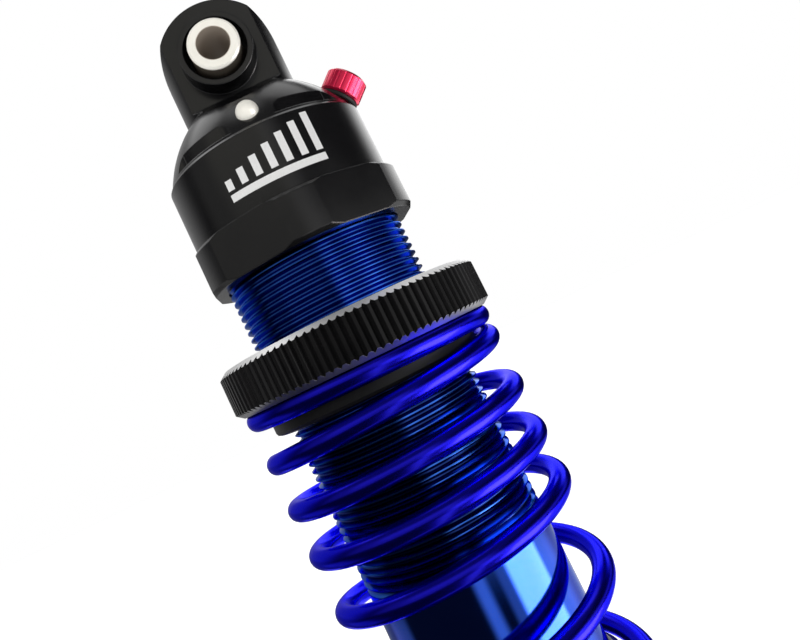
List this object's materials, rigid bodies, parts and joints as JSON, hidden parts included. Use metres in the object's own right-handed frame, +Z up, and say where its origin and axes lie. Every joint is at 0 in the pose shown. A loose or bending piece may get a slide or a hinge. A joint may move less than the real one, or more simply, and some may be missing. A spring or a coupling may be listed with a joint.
{
  "type": "coilover damper",
  "caption": "Coil-over damper for a large-scale model car: threaded body with a knurled spring adjuster, progressive spring, bleed screw and a ball eye at each end.",
  "frame": {"origin": "centre of the upper eye, on the damper's axis", "axes": "+Z up along the damper's axis, the upper eye at the top; both eye bores lie along Y; the bleed screw is on the +X side"},
  "size_m": [0.0352, 0.0352, 0.1709],
  "materials": {
    "black_anodised": "black anodised turned aluminium, semi-gloss",
    "blue_anodised": "bright dipped blue anodised aluminium, mirror-like",
    "red_anodised": "pink-red anodised aluminium",
    "spring_paint": "gloss violet-blue powder coat",
    "polished_steel": "polished hardened steel",
    "plain_steel": "zinc plated steel",
    "shaft_chrome": "ground and polished hard chrome",
    "liner_plastic": "black acetal, satin",
    "white_plastic": "natural acetal",
    "seal_rubber": "matt nitrile rubber"
  },
  "bodies": {
    "damper_body": {"shock_cap": "black_anodised", "cap_oring": "seal_rubber", "passage_plug": "polished_steel", "ball_race_front": "liner_plastic", "ball_race_rear": "liner_plastic", "ball_retainer": "black_anodised", "shock_body": "blue_anodised", "lower_cap": "black_anodised", "lower_cap_oring": "seal_rubber", "seal_clip": "plain_steel", "shaft_seal_upper": "seal_rubber", "seal_spacer": "white_plastic", "shaft_seal_lower": "seal_rubber", "shaft_bushing": "white_plastic"},
    "top_ball": {"top_pivot_ball": "polished_steel"},
    "bleed_seal": {"bleed_oring": "seal_rubber"},
    "bleed_knob": {"bleed_screw": "red_anodised"},
    "perch": {"spring_perch": "liner_plastic", "coil_spring": "spring_paint"},
    "collar": {"adjuster_collar": "black_anodised", "collar_oring": "seal_rubber"},
    "spring_cup": {"lower_spring_cup": "black_anodised"},
    "rod": {"piston_shaft": "shaft_chrome", "piston": "white_plastic", "piston_washer": "plain_steel", "piston_nut": "plain_steel", "bump_rubber": "seal_rubber", "rod_end": "black_anodised"},
    "rod_ball": {"rod_end_ball": "polished_steel"}
  },
  "joints": [
    {"name": "rod_slide", "type": "slide", "parent": "damper_body", "child": "spring_cup", "axis": [0, 0, 1], "range_m": [0, 0.027], "stiffness_N_per_m": 900, "springref_m": -0.012, "deforming": ["coil_spring"]},
    {"name": "rod_turn", "type": "hinge", "parent": "spring_cup", "child": "rod", "pos_m": [0, 0, -0.137], "axis": [0, 0, 1], "continuous": true},
    {"name": "perch_travel", "type": "slide", "parent": "damper_body", "child": "perch", "axis": [0, 0, 1], "range_m": [-0.00501, 0.00601], "deforming": ["coil_spring"]},
    {"name": "collar_turn", "type": "hinge", "parent": "perch", "child": "collar", "pos_m": [0, 0, -0.0398], "axis": [0, 0, 1], "range_deg": [-1800, 2160]},
    {"name": "bleed_lift", "type": "slide", "parent": "damper_body", "child": "bleed_seal", "axis": [0.7431, 0, 0.6691], "range_m": [0, 0.0015]},
    {"name": "bleed_screw_turn", "type": "hinge", "parent": "bleed_seal", "child": "bleed_knob", "pos_m": [0.0122, 0, -0.01005], "axis": [0.7431, 0, 0.6691], "range_deg": [0, 1081]},
    {"name": "top_ball_swivel", "type": "hinge", "parent": "damper_body", "child": "top_ball", "pos_m": [0, 0, 0], "axis": [1, 0, 0], "range_deg": [-5, 5]},
    {"name": "rod_end_swivel", "type": "hinge", "parent": "rod", "child": "rod_ball", "pos_m": [0, 0, -0.156], "axis": [1, 0, 0], "range_deg": [-12, 12]}
  ],
  "couplings": [
    {"joint": "perch_travel", "follows": "collar_turn", "m_per_rad": 0.00015915},
    {"joint": "bleed_screw_turn", "follows": "bleed_lift", "rad_per_m": 12566}
  ]
}
